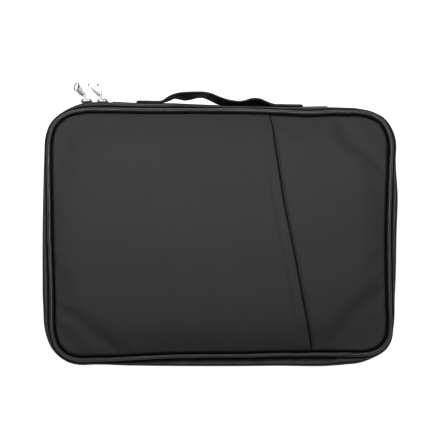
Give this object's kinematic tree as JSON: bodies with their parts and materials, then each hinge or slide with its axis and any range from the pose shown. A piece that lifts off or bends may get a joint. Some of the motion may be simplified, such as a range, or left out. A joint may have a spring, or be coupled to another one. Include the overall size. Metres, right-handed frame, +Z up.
{
  "type": "portfolio case",
  "caption": "Flat padded zip-round portfolio case with rounded corners, slanted front pocket, piped edges, paired zip pulls and a top carry handle.",
  "frame": {"origin": "middle of the back panel's flat resting face, the case lying on its back", "axes": "+X along the case's length, +Y towards the edge with the carry handle, +Z up through the thickness, out of the pocket side"},
  "size_m": [0.3522, 0.2837, 0.034],
  "materials": {
    "coated_fabric": "smooth matte black coated fabric with a fine grain",
    "piping_vinyl": "satin black vinyl over a cord",
    "webbing": "black woven nylon strap, stitched along both edges",
    "binding_tape": "black grosgrain binding",
    "zip_tape": "black woven zip tape",
    "zip_coil": "black nylon coil",
    "lining": "dark grey woven lining",
    "foam": "grey closed-cell foam padding",
    "polished_metal": "polished bright zinc alloy"
  },
  "bodies": {
    "base": {"back_outer_panel": "coated_fabric", "back_foam_pad": "foam", "back_lining": "lining", "back_seam_binding": "binding_tape", "back_piping": "piping_vinyl", "back_gusset": "coated_fabric", "back_spine_gusset": "coated_fabric", "back_zip_tape": "zip_tape", "back_zip_coil": "zip_coil", "handle_base_strip": "webbing", "handle_end_left": "webbing", "handle_end_right": "webbing", "zip_end_stop_left": "polished_metal", "zip_end_stop_right": "polished_metal"},
    "cover": {"front_lining": "lining", "front_foam_pad": "foam", "front_panel": "coated_fabric", "pocket_panel": "coated_fabric", "front_seam_binding": "binding_tape", "front_piping": "piping_vinyl", "front_gusset": "coated_fabric", "front_spine_gusset": "coated_fabric", "front_zip_tape": "zip_tape", "front_zip_coil": "zip_coil"},
    "handle": {"handle_loop": "webbing"},
    "left_slider": {"left_slider_body": "polished_metal"},
    "left_ring": {"left_link_ring": "polished_metal"},
    "left_tab": {"left_pull_tab": "polished_metal"},
    "right_slider": {"right_slider_body": "polished_metal"},
    "right_ring": {"right_link_ring": "polished_metal"},
    "right_tab": {"right_pull_tab": "polished_metal"}
  },
  "joints": [
    {"name": "cover_hinge", "type": "hinge", "parent": "base", "child": "cover", "pos_m": [0, -0.1328, 0.024], "axis": [1, 0, 0], "range_deg": [0, 180]},
    {"name": "left_slider_travel", "type": "hinge", "parent": "base", "child": "left_slider", "pos_m": [-0.1325, 0.0867, 0.024], "axis": [0, 0, 1], "range_deg": [0, 88]},
    {"name": "right_slider_travel", "type": "slide", "parent": "base", "child": "right_slider", "axis": [0.9998, -0.0174, 0], "range_m": [0, 0.24]},
    {"name": "left_ring_flap", "type": "hinge", "parent": "left_slider", "child": "left_ring", "pos_m": [-0.134, 0.13428, 0.024], "axis": [0.9995, 0.0315, 0], "range_deg": [-90, 90]},
    {"name": "left_tab_swing", "type": "hinge", "parent": "left_ring", "child": "left_tab", "pos_m": [-0.13579, 0.13717, 0.024], "axis": [0, 0, 1], "range_deg": [-26, 39]},
    {"name": "right_ring_flap", "type": "hinge", "parent": "right_slider", "child": "right_ring", "pos_m": [-0.11783, 0.13405, 0.024], "axis": [0.9998, -0.0174, 0], "range_deg": [-90, 90]},
    {"name": "right_tab_swing", "type": "hinge", "parent": "right_ring", "child": "right_tab", "pos_m": [-0.11948, 0.13702, 0.024], "axis": [0, 0, 1], "range_deg": [-90, 8]},
    {"name": "handle_lift", "type": "slide", "parent": "base", "child": "handle", "axis": [0.0174, 0.9998, 0], "range_m": [0, 0.008]}
  ]
}
